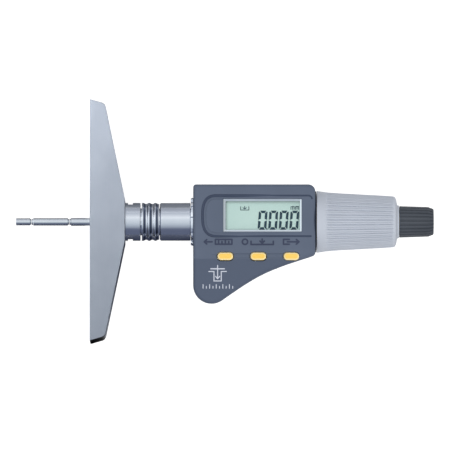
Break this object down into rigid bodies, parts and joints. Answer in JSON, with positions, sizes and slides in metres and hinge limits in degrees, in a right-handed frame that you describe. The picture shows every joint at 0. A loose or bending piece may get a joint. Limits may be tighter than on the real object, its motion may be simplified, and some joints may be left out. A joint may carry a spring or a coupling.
{
  "type": "depth gauge",
  "caption": "Digital depth micrometer: a slim rod slides through a wide flat measuring base, driven by a ribbed thimble and ratchet knob, beside a housing with a display, keys and battery bay.",
  "frame": {"origin": "under the middle of the gauge, on the surface that its back lies on", "axes": "+X along the spindle from the rod tip to the ratchet knob, +Y along the base towards the plain side, +Z out of the display"},
  "size_m": [0.173, 0.1, 0.0262],
  "materials": {
    "ground_steel": "fine ground",
    "chromed_steel": "satin chrome plate",
    "hardened_steel": "ground and lapped",
    "brass": "turned",
    "spring_steel": "zinc plated",
    "housing_plastic": "fine moulded grain",
    "thimble_plastic": "satin moulded",
    "knob_plastic": "moulded",
    "key_rubber": "smooth silicone",
    "black_rubber": "moulded",
    "clear_plastic": "clear polished",
    "display_glass": "reflective liquid crystal",
    "inner_plastic": "moulded",
    "board_laminate": "solder masked glass laminate",
    "silicone_rubber": "soft moulded"
  },
  "bodies": {
    "gauge_body": {"base_hub": "chromed_steel", "base_lock_screw": "hardened_steel", "battery": "hardened_steel", "battery_contact_minus": "brass", "battery_contact_plus": "brass", "battery_cover_seal": "black_rubber", "battery_holder": "inner_plastic", "board_screw_1": "spring_steel", "board_screw_2": "spring_steel", "data_connector": "inner_plastic", "display_board": "board_laminate", "guide_barrel": "chromed_steel", "housing_front": "housing_plastic", "housing_rear": "housing_plastic", "housing_screw_1": "spring_steel", "housing_screw_2": "spring_steel", "housing_screw_3": "spring_steel", "housing_screw_4": "spring_steel", "key_mat": "silicone_rubber", "lcd_connector_bottom": "silicone_rubber", "lcd_connector_top": "silicone_rubber", "lcd_frame": "inner_plastic", "lcd_panel": "display_glass", "lcd_window": "clear_plastic", "lock_shoe": "brass", "measuring_base": "ground_steel", "processor_chip": "inner_plastic", "retaining_ring": "spring_steel", "ring_nut": "chromed_steel", "rod_bush": "hardened_steel", "rod_wiper": "black_rubber", "scale_board": "board_laminate", "spindle_bush": "brass", "stem_sleeve": "chromed_steel", "thimble_seal_ring": "black_rubber"},
    "spindle": {"spindle": "hardened_steel", "lead_screw": "spring_steel", "extension_rod": "hardened_steel", "measuring_tip": "hardened_steel", "scale_arm": "brass", "scale_slider": "board_laminate"},
    "thimble": {"thimble": "thimble_plastic", "drive_sleeve": "brass", "bearing_bush": "brass", "drive_nut": "brass", "clutch_ring": "hardened_steel", "clutch_spring": "spring_steel", "knob_clip": "spring_steel"},
    "lock_ring": {"lock_ring": "chromed_steel"},
    "key_left": {"key_left": "key_rubber"},
    "key_middle": {"key_middle": "key_rubber"},
    "key_right": {"key_right": "key_rubber"},
    "battery_cover": {"battery_cover": "housing_plastic"},
    "data_port_cover": {"data_port_cover": "black_rubber"},
    "ratchet_knob": {"ratchet_knob": "knob_plastic"}
  },
  "joints": [
    {"name": "spindle_slide", "type": "slide", "parent": "gauge_body", "child": "spindle", "axis": [1, 0, 0], "range_m": [0, 0.03075]},
    {"name": "thimble_turn", "type": "hinge", "parent": "gauge_body", "child": "thimble", "pos_m": [0, 0, 0.0128], "axis": [1, 0, 0], "range_deg": [0, 4429]},
    {"name": "ratchet_turn", "type": "hinge", "parent": "thimble", "child": "ratchet_knob", "pos_m": [0, 0, 0.0128], "axis": [1, 0, 0], "continuous": true},
    {"name": "lock_ring_turn", "type": "hinge", "parent": "gauge_body", "child": "lock_ring", "pos_m": [0, 0, 0.0128], "axis": [1, 0, 0], "range_deg": [0, 45]},
    {"name": "battery_cover_turn", "type": "hinge", "parent": "gauge_body", "child": "battery_cover", "pos_m": [0.00175, -0.0145, 0.001], "axis": [0, 0, 1], "range_deg": [0, 60]},
    {"name": "data_port_cover_pull", "type": "slide", "parent": "gauge_body", "child": "data_port_cover", "axis": [-1, 0, 0], "range_m": [0, 0.008]},
    {"name": "key_left_press", "type": "slide", "parent": "gauge_body", "child": "key_left", "axis": [0, 0, -1], "range_m": [0, 0.0005], "stiffness_N_per_m": 1500, "springref_m": -0.0002},
    {"name": "key_middle_press", "type": "slide", "parent": "gauge_body", "child": "key_middle", "axis": [0, 0, -1], "range_m": [0, 0.0005], "stiffness_N_per_m": 1500, "springref_m": -0.0002},
    {"name": "key_right_press", "type": "slide", "parent": "gauge_body", "child": "key_right", "axis": [0, 0, -1], "range_m": [0, 0.0005], "stiffness_N_per_m": 1500, "springref_m": -0.0002}
  ],
  "couplings": [
    {"joint": "thimble_turn", "follows": "spindle_slide", "rad_per_m": 2513.3}
  ]
}
